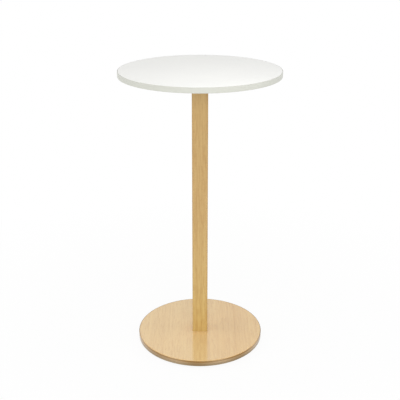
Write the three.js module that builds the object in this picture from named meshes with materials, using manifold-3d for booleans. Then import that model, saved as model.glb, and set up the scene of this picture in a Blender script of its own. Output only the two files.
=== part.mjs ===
// Standing meeting table: a round white top on a square timber column and a round veneered base.
// Millimetres, +Z up, with the origin on the floor under the middle of the column.
// The front of the table faces -Y.
import * as THREE from "three";
import { mergeVertices } from "three/addons/utils/BufferGeometryUtils.js";
import Module from "manifold-3d";

const wasm = await Module();
wasm.setup();

// Overall sizes
const TABLE_HEIGHT = 1100;
const TOP_DIAMETER = 600;
const TOP_THICKNESS = 20;
const COLUMN_WIDTH = 60;
const BASE_DIAMETER = 500;
const BASE_THICKNESS = 23;

// Clearances: a glue line, two pieces resting on each other, and a shank in its hole
const GLUE_LINE = 0.2;
const SEAT_GAP = 0.3;
const BORE_GAP = 0.3;

// Sheet goods that face and edge the two discs
const LAMINATE = 0.8;
const VENEER = 0.8;
const EDGE_BAND = 2;
const EDGE_RADIUS = 1.5;

// Box column of four mitred boards, with a plug glued into each end
const COLUMN_WALL = 15;
const COLUMN_EASE = 1.2;
const HEAD_PLUG_LENGTH = 50;
const FOOT_PLUG_LENGTH = 60;

// Steel plate between the column and the top
const TOP_PLATE_WIDTH = 250;
const TOP_PLATE_THICKNESS = 6;
const TOP_PLATE_CORNER = 22;
const TOP_SCREW_INSET = 20;

// Steel ballast plate let into the underside of the base, and the wood left round and above what is let in
const BASE_RIM = 20;
const BASE_PLATE_THICKNESS = 8;
const BASE_SCREW_INSET = 80;
const BASE_SCREW_COUNT = 6;
const BASE_SCREW_ROOF = 3.7;
const MORTISE_FLOOR = 5;
const GLIDE_BORE_ROOF = 2;

// Tie rod and its nuts and bolt, M10
const ROD_DIAMETER = 10;
const ROD_END_GAP = 0.8;
const NUT_FLATS = 16;
const NUT_HEIGHT = 8.4;
const COUPLING_LENGTH = 30;
const COUPLING_INSET = 2;
const BOLT_LENGTH = 30;
const BOLT_HEAD_DIAMETER = 20;
const BOLT_HEAD_HEIGHT = 5.5;
const BOLT_SOCKET_FLATS = 6;
const BOLT_SOCKET_DEPTH = 3;

// Wood screws, 5 mm: a pan head under the top plate, and a flush head in both plates
const SCREW_DIAMETER = 5;
const SCREW_POINT = 5;
const SCREW_END_ROOM = 1;
const SCREW_HEAD_DIAMETER = 10;
const SCREW_HEAD_HEIGHT = 3;
const HEAD_RIM = 0.6;
const HEAD_CROWN = 1.5;
const CROSS_LENGTH = 5;
const CROSS_WIDTH = 1.2;
const CROSS_DEPTH = 1.6;
const TOP_SCREW_LENGTH = 18;
const COLUMN_SCREW_LENGTH = 50;

// Levelling glides, M8, near the rim of the ballast plate
const GLIDE_COUNT = 4;
const GLIDE_INSET = 17;
const GLIDE_THREAD_DIAMETER = 8;
const GLIDE_END_ROOM = 1;
const THREAD_CHAMFER = 1;
const COLLAR_FLATS = 13;
const COLLAR_HEIGHT = 2;
const NECK_DIAMETER = 7;
const FOOT_DIAMETER = 11;
const FOOT_HEIGHT = 1.2;
const PAD_DIAMETER = 28;
const PAD_HEIGHT = 3.7;
const PAD_FLOOR = 1;
const PAD_BOTTOM_CHAMFER = 0.6;
const PAD_TOP_RADIUS = 1.6;

// Facets
const DISC_SIDES = 72;
const PAD_SIDES = 20;
const ROUND_SIDES = 12;
const EDGE_STEPS = 2;
const CORNER_STEPS = 6;

// How far a cutter reaches past the face that it opens
const CUT_OVER = 1;

// Levels, worked up from the floor and down from the top
const FLOOR_GAP = PAD_HEIGHT + SEAT_GAP + COLLAR_HEIGHT + SEAT_GAP;
const COLUMN_BOTTOM = FLOOR_GAP + BASE_THICKNESS + SEAT_GAP;
const TOP_UNDERSIDE = TABLE_HEIGHT - TOP_THICKNESS;
const TOP_PLATE_UNDERSIDE = TOP_UNDERSIDE - SEAT_GAP - TOP_PLATE_THICKNESS;
const COLUMN_LENGTH = TOP_PLATE_UNDERSIDE - SEAT_GAP - COLUMN_BOTTOM;

// Depths in the base: the mortise is measured from its top, and the others from its underside
const PLATE_RECESS = BASE_PLATE_THICKNESS + SEAT_GAP;
const BASE_CORE_THICKNESS = BASE_THICKNESS - VENEER - GLUE_LINE;
const MORTISE_DEPTH = BASE_THICKNESS - PLATE_RECESS - MORTISE_FLOOR;
const GLIDE_BORE_TOP = BASE_CORE_THICKNESS - GLIDE_BORE_ROOF;
const BASE_SCREW_LENGTH = BASE_CORE_THICKNESS - BASE_SCREW_ROOF - SEAT_GAP;

// Sizes that two pieces share
const PLUG_WIDTH = COLUMN_WIDTH - 2 * COLUMN_WALL - 2 * GLUE_LINE;
const BOARD_MIDDLE = (COLUMN_WIDTH - COLUMN_WALL) / 2;
const BASE_PLATE_RADIUS = BASE_DIAMETER / 2 - BASE_RIM;
const ROD_HOLE_RADIUS = ROD_DIAMETER / 2 + BORE_GAP;
const NUT_HOLE_RADIUS = NUT_FLATS / Math.sqrt(3) + BORE_GAP;
const SCREW_HOLE_RADIUS = SCREW_DIAMETER / 2 + BORE_GAP;

// Finishes
function finish(color, roughness, metalness = 0) {
  return new THREE.MeshStandardMaterial({ color, roughness, metalness });
}
const WHITE_LAMINATE = finish(0xf2f2ee, 0.35);
const WHITE_EDGING = finish(0xe9eae5, 0.4);
const BOARD_CORE = finish(0xb08d62, 0.9);
const COLUMN_TIMBER = finish(0xcfa469, 0.5);
const PLUG_TIMBER = finish(0xc79b68, 0.8);
const BASE_VENEER = finish(0xe2c79f, 0.35);
const BASE_EDGING = finish(0xb48f60, 0.45);
const BLACK_STEEL = finish(0x1d1e20, 0.5, 0.3);
const ZINC_STEEL = finish(0xb9bcc0, 0.35, 1);
const BLACK_NYLON = finish(0x232427, 0.6);

// A closed geometry as a manifold solid, with the vertices that its faces share merged.
function solidOf(geometry) {
  const bare = geometry.clone();
  bare.deleteAttribute("normal");
  bare.deleteAttribute("uv");
  const merged = mergeVertices(bare);
  const vertProperties = merged.attributes.position.array;
  const triVerts = new Uint32Array(merged.index.array);
  return new wasm.Manifold(new wasm.Mesh({ numProp: 3, vertProperties, triVerts }));
}

// A manifold solid as a flat-shaded three.js geometry.
function geometryOf(solid) {
  const mesh = solid.getMesh();
  const geometry = new THREE.BufferGeometry();
  geometry.setAttribute("position", new THREE.BufferAttribute(mesh.vertProperties, 3));
  geometry.setIndex(new THREE.BufferAttribute(mesh.triVerts, 1));
  const faceted = geometry.toNonIndexed();
  faceted.computeVertexNormals();
  return faceted;
}

function cut(body, cutters) {
  return geometryOf(cutters.reduce((solid, cutter) => solid.subtract(solidOf(cutter)), solidOf(body)));
}

function join(body, other) {
  return geometryOf(solidOf(body).add(solidOf(other)));
}

// A profile of [radius, height] points turned about Z. The points run anticlockwise, from the axis
// and back to it, or round to the first point again for a ring.
function turned(profile, sides) {
  const points = profile.map(([radius, height]) => new THREE.Vector2(radius, height));
  return new THREE.LatheGeometry(points, sides).rotateX(Math.PI / 2);
}

function cylinder(radius, bottom, top, sides = ROUND_SIDES) {
  const profile = [[0, bottom], [radius, bottom], [radius, top], [0, top]];
  return turned(profile, sides);
}

function hexPrism(flats, bottom, top) {
  return cylinder(flats / Math.sqrt(3), bottom, top, 6);
}

function squarePrism(width, bottom, top) {
  return new THREE.BoxGeometry(width, width, top - bottom).translate(0, 0, (bottom + top) / 2);
}

function extruded(outline, length) {
  const shape = new THREE.Shape(outline.map(([x, y]) => new THREE.Vector2(x, y)));
  return new THREE.ExtrudeGeometry(shape, { depth: length, bevelEnabled: false });
}

// Points of a quarter circle round a centre, which starts the given number of quarter turns from +X.
function quarterArc(centreX, centreY, radius, startQuarter, steps) {
  return Array.from({ length: steps + 1 }, (_, i) => {
    const angle = (startQuarter + i / steps) * (Math.PI / 2);
    return [centreX + radius * Math.cos(angle), centreY + radius * Math.sin(angle)];
  });
}

// Places spread evenly on a circle, with the first one turned from +X by a share of the spacing.
function placesOnCircle(count, radius, phase) {
  return Array.from({ length: count }, (_, i) => {
    const angle = ((i + phase) / count) * 2 * Math.PI;
    return [radius * Math.cos(angle), radius * Math.sin(angle)];
  });
}

// Where the screws and glides go, as [x, y]

// One at each corner of the top plate and one at the middle of each side.
function topScrewPlaces() {
  const reach = TOP_PLATE_WIDTH / 2 - TOP_SCREW_INSET;
  const steps = [-reach, 0, reach];
  return steps.flatMap((x) => steps.map((y) => [x, y])).filter(([x, y]) => x || y);
}

// One in the end of each column board.
function columnScrewPlaces() {
  return placesOnCircle(4, BOARD_MIDDLE, 0);
}

function basePlateScrewPlaces() {
  return placesOnCircle(BASE_SCREW_COUNT, BASE_PLATE_RADIUS - BASE_SCREW_INSET, 0);
}

function glidePlaces() {
  return placesOnCircle(GLIDE_COUNT, BASE_PLATE_RADIUS - GLIDE_INSET, 0.5);
}

// Makes a named mesh in a group.
function addPiece(group, name, geometry, material, [x, y, z] = [0, 0, 0]) {
  const mesh = new THREE.Mesh(geometry, material);
  mesh.name = name;
  mesh.position.set(x, y, z);
  group.add(mesh);
  return mesh;
}

// Edge band: a ring with rounded outer edges, standing on the level of its group
function edgeBand(diameter, height) {
  const outer = diameter / 2;
  const inner = outer - EDGE_BAND;
  const radius = Math.min(EDGE_RADIUS, EDGE_BAND);
  const lowerArc = quarterArc(outer - radius, radius, radius, 3, EDGE_STEPS);
  const upperArc = quarterArc(outer - radius, height - radius, radius, 0, EDGE_STEPS);
  return turned([[inner, 0], ...lowerArc, ...upperArc, [inner, height], [inner, 0]], DISC_SIDES);
}

function discInsideBand(diameter, bottom, top) {
  return cylinder(diameter / 2 - EDGE_BAND - GLUE_LINE, bottom, top, DISC_SIDES);
}

// Fasteners, drawn with the top of the head at 0 and pointing up

function crossRecess() {
  const slot = (width, length) => new THREE.BoxGeometry(width, length, 2 * CROSS_DEPTH);
  return [slot(CROSS_WIDTH, CROSS_LENGTH), slot(CROSS_LENGTH, CROSS_WIDTH)];
}

// Outline of a wood screw past its head.
function screwShank(end) {
  return [[SCREW_DIAMETER / 2, end - SCREW_POINT], [0, end]];
}

// Its length is counted from under the head.
function panScrew(length) {
  const radius = SCREW_HEAD_DIAMETER / 2;
  const head = [
    [0, 0],
    [radius - HEAD_CROWN, 0],
    [radius, HEAD_CROWN],
    [radius, SCREW_HEAD_HEIGHT],
    [SCREW_DIAMETER / 2, SCREW_HEAD_HEIGHT],
  ];
  return cut(turned([...head, ...screwShank(SCREW_HEAD_HEIGHT + length)], ROUND_SIDES), crossRecess());
}

// Outline of a countersunk head from the axis to its shank.
function countersunkHead(headDiameter, headHeight, shankDiameter) {
  const radius = headDiameter / 2;
  return [[0, 0], [radius, 0], [radius, HEAD_RIM], [shankDiameter / 2, headHeight]];
}

// A hole for such a head and for its shank, down to the end.
function countersunkHole(headDiameter, headHeight, shankDiameter, end) {
  const headRadius = headDiameter / 2 + BORE_GAP;
  const shankRadius = shankDiameter / 2 + BORE_GAP;
  const head = [[0, -CUT_OVER], [headRadius, -CUT_OVER], [headRadius, HEAD_RIM], [shankRadius, headHeight]];
  return turned([...head, [shankRadius, end], [0, end]], ROUND_SIDES);
}

function flushScrew(length) {
  const head = countersunkHead(SCREW_HEAD_DIAMETER, SCREW_HEAD_HEIGHT, SCREW_DIAMETER);
  return cut(turned([...head, ...screwShank(length)], ROUND_SIDES), crossRecess());
}

function flushScrewHole(length) {
  return countersunkHole(SCREW_HEAD_DIAMETER, SCREW_HEAD_HEIGHT, SCREW_DIAMETER, length + SCREW_END_ROOM);
}

// Tabletop: a board faced with laminate on both sides and edged with a band, and its screws
function makeTabletop() {
  const top = new THREE.Group();
  top.position.z = TOP_UNDERSIDE;
  const coreBottom = LAMINATE + GLUE_LINE;
  const coreTop = TOP_THICKNESS - LAMINATE - GLUE_LINE;
  const underPlate = -SEAT_GAP - TOP_PLATE_THICKNESS - SEAT_GAP;
  const pilotTop = underPlate + TOP_SCREW_LENGTH + SCREW_END_ROOM;
  const pilots = topScrewPlaces().map(([x, y]) =>
    cylinder(SCREW_HOLE_RADIUS, -CUT_OVER, pilotTop).translate(x, y, 0),
  );
  addPiece(top, "tabletop_backer", cut(discInsideBand(TOP_DIAMETER, 0, LAMINATE), pilots), WHITE_LAMINATE);
  addPiece(top, "tabletop_core", cut(discInsideBand(TOP_DIAMETER, coreBottom, coreTop), pilots), BOARD_CORE);
  const laminate = discInsideBand(TOP_DIAMETER, coreTop + GLUE_LINE, TOP_THICKNESS);
  addPiece(top, "tabletop_laminate", laminate, WHITE_LAMINATE);
  addPiece(top, "tabletop_edge_band", edgeBand(TOP_DIAMETER, TOP_THICKNESS), WHITE_EDGING);
  const screw = panScrew(TOP_SCREW_LENGTH);
  topScrewPlaces().forEach(([x, y], i) => {
    addPiece(top, `top_plate_screw_${i + 1}`, screw, ZINC_STEEL, [x, y, underPlate - SCREW_HEAD_HEIGHT]);
  });
  return top;
}

// Top plate: a square of steel with rounded corners, the nut welded under it, and the column's screws
function makeTopPlate() {
  const plate = new THREE.Group();
  plate.position.z = TOP_PLATE_UNDERSIDE;
  const arcCentre = TOP_PLATE_WIDTH / 2 - TOP_PLATE_CORNER;
  const corners = [[1, 1], [-1, 1], [-1, -1], [1, -1]];
  const outline = corners.flatMap(([x, y], quarter) =>
    quarterArc(x * arcCentre, y * arcCentre, TOP_PLATE_CORNER, quarter, CORNER_STEPS),
  );
  const screwHoles = topScrewPlaces().map(([x, y]) =>
    cylinder(SCREW_HOLE_RADIUS, -CUT_OVER, TOP_PLATE_THICKNESS + CUT_OVER).translate(x, y, 0),
  );
  const headFace = TOP_PLATE_THICKNESS - SEAT_GAP;
  const flushHoles = columnScrewPlaces().map(([x, y]) =>
    flushScrewHole(COLUMN_SCREW_LENGTH).rotateX(Math.PI).translate(x, y, headFace),
  );
  const body = extruded(outline, TOP_PLATE_THICKNESS);
  addPiece(plate, "top_plate", cut(body, [...screwHoles, ...flushHoles]), BLACK_STEEL);
  const screw = flushScrew(COLUMN_SCREW_LENGTH);
  columnScrewPlaces().forEach(([x, y], i) => {
    const mesh = addPiece(plate, `column_screw_${i + 1}`, screw, ZINC_STEEL, [x, y, headFace]);
    mesh.rotation.x = Math.PI;
  });
  const rodHole = cylinder(ROD_HOLE_RADIUS, -NUT_HEIGHT - CUT_OVER, CUT_OVER);
  const nut = cut(hexPrism(NUT_FLATS, -NUT_HEIGHT, 0), [rodHole]);
  addPiece(plate, "top_plate_nut", nut, ZINC_STEEL, [0, 0, -SEAT_GAP]);
  return plate;
}

// Column: four boards mitred at their long edges, each drawn as the front one and turned into place
function makeColumnBoards() {
  const boards = new THREE.Group();
  boards.position.z = COLUMN_BOTTOM;
  const outer = COLUMN_WIDTH / 2;
  const inner = outer - COLUMN_WALL;
  const mitreGap = GLUE_LINE / Math.SQRT2;
  const flat = outer - COLUMN_EASE;
  const arris = outer - COLUMN_EASE / 2;
  const outline = [
    [-flat, -outer],
    [flat, -outer],
    [arris - mitreGap, -arris],
    [inner - mitreGap, -inner],
    [mitreGap - inner, -inner],
    [mitreGap - arris, -arris],
  ];
  const screwHole = flushScrewHole(COLUMN_SCREW_LENGTH).rotateX(Math.PI);
  screwHole.translate(0, -BOARD_MIDDLE, COLUMN_LENGTH + TOP_PLATE_THICKNESS);
  const board = cut(extruded(outline, COLUMN_LENGTH), [screwHole]);
  ["front", "right", "back", "left"].forEach((side, quarter) => {
    const mesh = addPiece(boards, `column_board_${side}`, board, COLUMN_TIMBER);
    mesh.rotation.z = (quarter * Math.PI) / 2;
  });
  return boards;
}

// Plugs in the column's ends. The one in the foot stands out as a stub tenon, which the base's mortise holds.
function makeColumnPlugs() {
  const plugs = new THREE.Group();
  plugs.position.z = COLUMN_BOTTOM;
  const headBottom = COLUMN_LENGTH - HEAD_PLUG_LENGTH;
  const nutSeat = COLUMN_LENGTH - NUT_HEIGHT - SEAT_GAP;
  const headPlug = cut(squarePrism(PLUG_WIDTH, headBottom, COLUMN_LENGTH), [
    cylinder(ROD_HOLE_RADIUS, headBottom - CUT_OVER, COLUMN_LENGTH),
    cylinder(NUT_HOLE_RADIUS, nutSeat, COLUMN_LENGTH + CUT_OVER),
  ]);
  addPiece(plugs, "column_head_plug", headPlug, PLUG_TIMBER);

  const tenonEnd = -MORTISE_DEPTH;
  const couplingBottom = tenonEnd + COUPLING_INSET;
  const couplingTop = couplingBottom + COUPLING_LENGTH;
  const couplingSeat = couplingTop + SEAT_GAP;
  const footPlug = cut(squarePrism(PLUG_WIDTH, tenonEnd, FOOT_PLUG_LENGTH), [
    cylinder(ROD_HOLE_RADIUS, couplingSeat - CUT_OVER, FOOT_PLUG_LENGTH + CUT_OVER),
    cylinder(NUT_HOLE_RADIUS, tenonEnd - CUT_OVER, couplingSeat),
  ]);
  addPiece(plugs, "column_foot_plug", footPlug, PLUG_TIMBER);
  const threadedHole = cylinder(ROD_HOLE_RADIUS, couplingBottom - CUT_OVER, couplingTop + CUT_OVER);
  const coupling = cut(hexPrism(NUT_FLATS, couplingBottom, couplingTop), [threadedHole]);
  addPiece(plugs, "coupling_nut", coupling, ZINC_STEEL);
  return plugs;
}

// Tie rod: from the end of the base bolt, inside the coupling nut, up into the nut under the top plate
function makeTieRod() {
  const tie = new THREE.Group();
  const radius = ROD_DIAMETER / 2;
  const boltFace = FLOOR_GAP + SEAT_GAP;
  const boltOutline = [
    ...countersunkHead(BOLT_HEAD_DIAMETER, BOLT_HEAD_HEIGHT, ROD_DIAMETER),
    [radius, BOLT_LENGTH - THREAD_CHAMFER],
    [radius - THREAD_CHAMFER, BOLT_LENGTH],
    [0, BOLT_LENGTH],
  ];
  const socket = hexPrism(BOLT_SOCKET_FLATS, -CUT_OVER, BOLT_SOCKET_DEPTH);
  const bolt = cut(turned(boltOutline, ROUND_SIDES), [socket]);
  addPiece(tie, "base_bolt", bolt, ZINC_STEEL, [0, 0, boltFace]);

  const rodBottom = boltFace + BOLT_LENGTH + ROD_END_GAP;
  const rodLength = TOP_PLATE_UNDERSIDE - SEAT_GAP - rodBottom;
  const rodOutline = [
    [0, 0],
    [radius - THREAD_CHAMFER, 0],
    [radius, THREAD_CHAMFER],
    [radius, rodLength - THREAD_CHAMFER],
    [radius - THREAD_CHAMFER, rodLength],
    [0, rodLength],
  ];
  addPiece(tie, "tie_rod", turned(rodOutline, ROUND_SIDES), ZINC_STEEL, [0, 0, rodBottom]);
  return tie;
}

// Base: a veneered disc with a wooden edge, recessed underneath for the steel ballast plate
function makeBase() {
  const base = new THREE.Group();
  base.position.z = FLOOR_GAP;
  const coreRadius = BASE_DIAMETER / 2 - EDGE_BAND - GLUE_LINE;
  const recessRadius = BASE_PLATE_RADIUS + BORE_GAP;
  const coreOutline = [
    [0, PLATE_RECESS],
    [recessRadius, PLATE_RECESS],
    [recessRadius, 0],
    [coreRadius, 0],
    [coreRadius, BASE_CORE_THICKNESS],
    [0, BASE_CORE_THICKNESS],
  ];
  const mortiseFloor = BASE_THICKNESS - MORTISE_DEPTH;
  const mortise = squarePrism(PLUG_WIDTH + 2 * BORE_GAP, mortiseFloor, BASE_THICKNESS + CUT_OVER);
  const boltHole = countersunkHole(BOLT_HEAD_DIAMETER, BOLT_HEAD_HEIGHT, ROD_DIAMETER, BASE_THICKNESS);
  const glideBores = glidePlaces().map(([x, y]) =>
    cylinder(GLIDE_THREAD_DIAMETER / 2 + BORE_GAP, -CUT_OVER, GLIDE_BORE_TOP).translate(x, y, 0),
  );
  const screwHoles = basePlateScrewPlaces().map(([x, y]) =>
    flushScrewHole(BASE_SCREW_LENGTH).translate(x, y, SEAT_GAP),
  );
  const holesFromBelow = [boltHole.translate(0, 0, SEAT_GAP), ...glideBores, ...screwHoles];
  const core = cut(turned(coreOutline, DISC_SIDES), [mortise, ...holesFromBelow]);
  addPiece(base, "base_core", core, BOARD_CORE);
  const veneer = cut(discInsideBand(BASE_DIAMETER, BASE_THICKNESS - VENEER, BASE_THICKNESS), [mortise]);
  addPiece(base, "base_veneer", veneer, BASE_VENEER);
  addPiece(base, "base_edge_band", edgeBand(BASE_DIAMETER, BASE_THICKNESS), BASE_EDGING);

  const plate = cylinder(BASE_PLATE_RADIUS, 0, BASE_PLATE_THICKNESS, DISC_SIDES);
  addPiece(base, "base_plate", cut(plate, holesFromBelow), BLACK_STEEL);
  const screw = flushScrew(BASE_SCREW_LENGTH);
  basePlateScrewPlaces().forEach(([x, y], i) => {
    addPiece(base, `base_plate_screw_${i + 1}`, screw, ZINC_STEEL, [x, y, SEAT_GAP]);
  });
  return base;
}

// Levelling glide: a threaded stud with a hexagonal collar, whose foot is held in a pad on the floor
function makeGlide(number, [x, y]) {
  const glide = new THREE.Group();
  glide.position.set(x, y, 0);
  const padRadius = PAD_DIAMETER / 2;
  const crownCentre = padRadius - PAD_TOP_RADIUS;
  const neckRadius = NECK_DIAMETER / 2;
  const footRadius = FOOT_DIAMETER / 2;
  const footBottom = PAD_FLOOR + SEAT_GAP;
  const footTop = footBottom + FOOT_HEIGHT;
  const socketTop = footTop + SEAT_GAP;
  const padOutline = [
    [0, 0],
    [padRadius - PAD_BOTTOM_CHAMFER, 0],
    [padRadius, PAD_BOTTOM_CHAMFER],
    ...quarterArc(crownCentre, PAD_HEIGHT - PAD_TOP_RADIUS, PAD_TOP_RADIUS, 0, EDGE_STEPS),
    [neckRadius + BORE_GAP, PAD_HEIGHT],
    [neckRadius + BORE_GAP, socketTop],
    [footRadius + BORE_GAP, socketTop],
    [footRadius + BORE_GAP, PAD_FLOOR],
    [0, PAD_FLOOR],
  ];
  addPiece(glide, `glide_pad_${number}`, turned(padOutline, PAD_SIDES), BLACK_NYLON);

  const collarBottom = PAD_HEIGHT + SEAT_GAP;
  const collarTop = collarBottom + COLLAR_HEIGHT;
  const threadRadius = GLIDE_THREAD_DIAMETER / 2;
  const threadTop = FLOOR_GAP + GLIDE_BORE_TOP - GLIDE_END_ROOM;
  const studOutline = [
    [0, footBottom],
    [footRadius, footBottom],
    [footRadius, footTop],
    [neckRadius, footTop],
    [neckRadius, collarBottom],
    [threadRadius, collarTop],
    [threadRadius, threadTop - THREAD_CHAMFER],
    [threadRadius - THREAD_CHAMFER, threadTop],
    [0, threadTop],
  ];
  const collar = hexPrism(COLLAR_FLATS, collarBottom, collarTop);
  addPiece(glide, `glide_stud_${number}`, join(turned(studOutline, ROUND_SIDES), collar), ZINC_STEEL);
  return glide;
}

const table = new THREE.Group();
table.add(makeTabletop(), makeTopPlate(), makeColumnBoards(), makeColumnPlugs(), makeTieRod(), makeBase());
glidePlaces().forEach((place, i) => table.add(makeGlide(i + 1, place)));

export default table;
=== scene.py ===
import math

import bmesh
import bpy
import numpy as np
from mathutils.geometry import delaunay_2d_cdt
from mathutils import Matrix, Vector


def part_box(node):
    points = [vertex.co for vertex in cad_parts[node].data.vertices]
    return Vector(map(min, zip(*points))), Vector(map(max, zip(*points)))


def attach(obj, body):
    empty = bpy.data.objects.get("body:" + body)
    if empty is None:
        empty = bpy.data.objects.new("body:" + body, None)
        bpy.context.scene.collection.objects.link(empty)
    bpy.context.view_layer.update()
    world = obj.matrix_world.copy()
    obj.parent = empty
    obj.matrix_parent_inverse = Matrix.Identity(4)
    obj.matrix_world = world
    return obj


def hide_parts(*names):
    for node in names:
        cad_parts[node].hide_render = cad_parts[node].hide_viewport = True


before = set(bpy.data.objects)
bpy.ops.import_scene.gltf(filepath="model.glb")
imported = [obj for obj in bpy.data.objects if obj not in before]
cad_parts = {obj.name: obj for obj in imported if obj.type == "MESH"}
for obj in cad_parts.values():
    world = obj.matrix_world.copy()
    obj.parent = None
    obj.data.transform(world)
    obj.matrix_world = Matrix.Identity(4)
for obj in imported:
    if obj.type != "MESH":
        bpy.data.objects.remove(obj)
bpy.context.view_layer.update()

MM = 0.001
FULL_TURN = 2 * math.pi
QUARTER_TURN = math.pi / 2

# How many there are of each numbered piece
TOP_SCREWS = 8
COLUMN_SCREWS = 4
BALLAST_SCREWS = 6
GLIDES = 4

# Gaps between pieces, as the solids have them
GLUE_LINE = 0.2 * MM
SEAT_GAP = 0.3 * MM
BORE_GAP = 0.3 * MM

# Roundings
BAND_ROUND = 1.5 * MM
SHEET_ROUND = 0.15 * MM
ARRIS_ROUND = 1.2 * MM
PLATE_ROUND = 0.8 * MM
SMALL_ROUND = 0.25 * MM

# Column boards
COLUMN_WALL = 15 * MM
MITRE_GAP = 0.05 * MM
COLUMN_SCREW_ROOM = 1 * MM

# The joint at the back where the two ends of an edge band meet
BAND_JOINT_WIDTH = 0.5 * MM
BAND_JOINT_DEPTH = 0.2 * MM

# Top plate
TOP_PLATE_CORNER = 22 * MM

# Wood screws
SCREW_DIAMETER = 5 * MM
SCREW_ROOT = 3.3 * MM
SCREW_PITCH = 2.2 * MM
SCREW_RIDGE = 0.45
SCREW_POINT = 5 * MM
HEAD_DIAMETER = 10 * MM
HEAD_HEIGHT = 3 * MM
HEAD_RIM = 0.6 * MM
PAN_CROWN = 1.5 * MM
CROSS_LENGTH = 5 * MM
CROSS_WIDTH = 1.2 * MM
CROSS_DEPTH = 1.6 * MM
CROSS_TAPER = 0.62
CROSS_MOUTH = 2.7 * MM
CROSS_STEPS = 6

# Base bolt, whose thread the tie rod shares
BOLT_DIAMETER = 10 * MM
BOLT_PITCH = 1.5 * MM
BOLT_HEAD_DIAMETER = 20 * MM
BOLT_HEAD_HEIGHT = 5.5 * MM
SOCKET_FLATS = 6 * MM
SOCKET_DEPTH = 3 * MM
SOCKET_MOUTH = 4.2 * MM

# Middle of a recess's floor, as a share of the recess's depth
RECESS_POINT = 1.15

# Tie rod and nuts
ROD_THREAD = 30 * MM
BORE_CHAMFER = 0.8 * MM

# Glides
GLIDE_THREAD = 8 * MM
GLIDE_PITCH = 1.25 * MM
GLIDE_NECK = 7 * MM
GLIDE_FOOT = 11 * MM
GLIDE_FOOT_HEIGHT = 1.2 * MM
PAD_FLOOR = 1 * MM
PAD_CHAMFER = 0.6 * MM
PAD_CROWN = 1.6 * MM

# Machine threads and hexagons
THREAD_DEPTH_SHARE = 1.23
THREAD_CHAMFER = 1 * MM
THREAD_ROWS = 8
HEX_CHAMFER_START = 0.96
HEX_CHAMFER_SLOPE = 1.73
HEX_ROWS = 13

# How finely the surfaces are divided
TABLE_SIDES = 288
PLATE_SIDES = 192
FASTENER_SIDES = 96
HOLE_SIDES = 48
ROUND_STEPS = 6
FLAT_HOLD = 1.3
WELD_DISTANCE = 0.002 * MM
TINY = 1e-9
SHARP_ANGLE = math.radians(32)

# Timbers, each in four tones from pale to dark
COLUMN_TONES = ("d9ba7d", "d2b074", "bc945a", "875c33")
PLUG_TONES = ("cfa672", "c79b68", "b58655", "80572f")
VENEER_TONES = ("f2d398", "eecd94", "dfb983", "a0744a")
BAND_TONES = ("d2b58e", "c5a87e", "ac8c64", "634225")

# How strongly the marks in a timber show, and how deep its lines are beside its pores
LINE_SHADE = 0.35
FLECK_SHADE = 0.6
PORE_SHADE = 0.28
LINE_DEPTH = 0.4

# In the groups below, a tint scales red, green and blue, and a fade runs from the start to the full effect

# Column timber, with the start of the front board in the grain and the step from each board to the next
GRAIN_START = (0.05, 0, 0)
GRAIN_STEP = (0.37, 0.21, 0.53)
# Painted light: the tint brightens each board towards its foot, as light thrown up from the base would
PAINTED_FOOT_LIGHT_TINT = (1.10, 1.155, 1.03)
PAINTED_FOOT_LIGHT_FADE = (550 * MM, 30 * MM)
# Painted shade along the column's arrises: how far in it reaches, and how strongly it darkens
PAINTED_ARRIS_SHADE_FADE = (3.5 * MM, 1 * MM)
PAINTED_ARRIS_SHADE = 0.4

# Base veneer, with its streaks as place across the grain, half width and strength
VENEER_START = (2.076, 0, 0)
RIGHT_TINT = (0.975, 0.935, 0.865)
RIGHT_FADE = (-150 * MM, 200 * MM)
STREAK_TINT = (0.95, 0.915, 0.88)
VENEER_STREAKS = ((-170 * MM, 60 * MM, 0.6), (95 * MM, 30 * MM, 0.6), (146 * MM, 24 * MM, 1.0))
# Painted highlight along the front rim of the veneer
RIM_HIGHLIGHT_TINT = (1.08, 1.05, 1.0)
RIM_HIGHLIGHT_FADE = (6 * MM, 3 * MM)

# Where the painted highlights on the rim of the veneer and on the arris of its band show, from the sides to
# the front
FRONT_HIGHLIGHT_FADE = (-40 * MM, -140 * MM)

# Base edge band
RIPPLE_TINT = (0.73, 0.64, 0.42)
RIPPLE_LENGTH = 184 * MM
RIPPLE_CREST = -12 * MM
RIPPLE_FADE = (-300 * MM, -100 * MM)
GOLDEN_FADE = (7.5 * MM, 6.5 * MM)
# The brown lower layer of the band, darkened further by painted shade near the floor
BROWN_AND_SHADE_TINT = (0.75, 0.80, 0.83)
BROWN_AND_SHADE_FADE = (9.5 * MM, 8.5 * MM)
# Painted highlight on the arris of the band
ARRIS_HIGHLIGHT_FADE = (0.9 * MM, 0.4 * MM)

# Floor and surroundings
WHITE = (1, 1, 1, 1)
AMBIENT = 0.56
FLOOR_REACH = 8.0
FLOOR_DROP = 0.5 * MM
SHADOW_FADE = (1.6, 0.4)
SHADOW_SHARE = 0.07

# Lamps, each with its place, its size and its power in watts
LAMPS = {
    "front_box": ((0, -3.4, 1.2), 2.4, 32.5),
    "top_box": ((0.18, -0.65, 1.85), 0.6, 4.0),
    "left_box": ((-2.6, -0.2, 1.5), 2.0, 18),
    "right_box": ((2.6, -0.2, 1.5), 2.0, 12),
    "back_box": ((0, 2.8, 1.6), 2.0, 12),
}
LAMP_AIM = (0, 0, 0.6)

# Camera
CAMERA_PLACE = (0, -2.7281, 1.6378)
CAMERA_DOWN = math.radians(20.947)
CAMERA_LENS = 68.02
CAMERA_SENSOR = 36.0


# Grids of points

def turn(sides):
    """Angles all the way round, with the first one again at the end."""
    return np.linspace(0, FULL_TURN, sides + 1)


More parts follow.
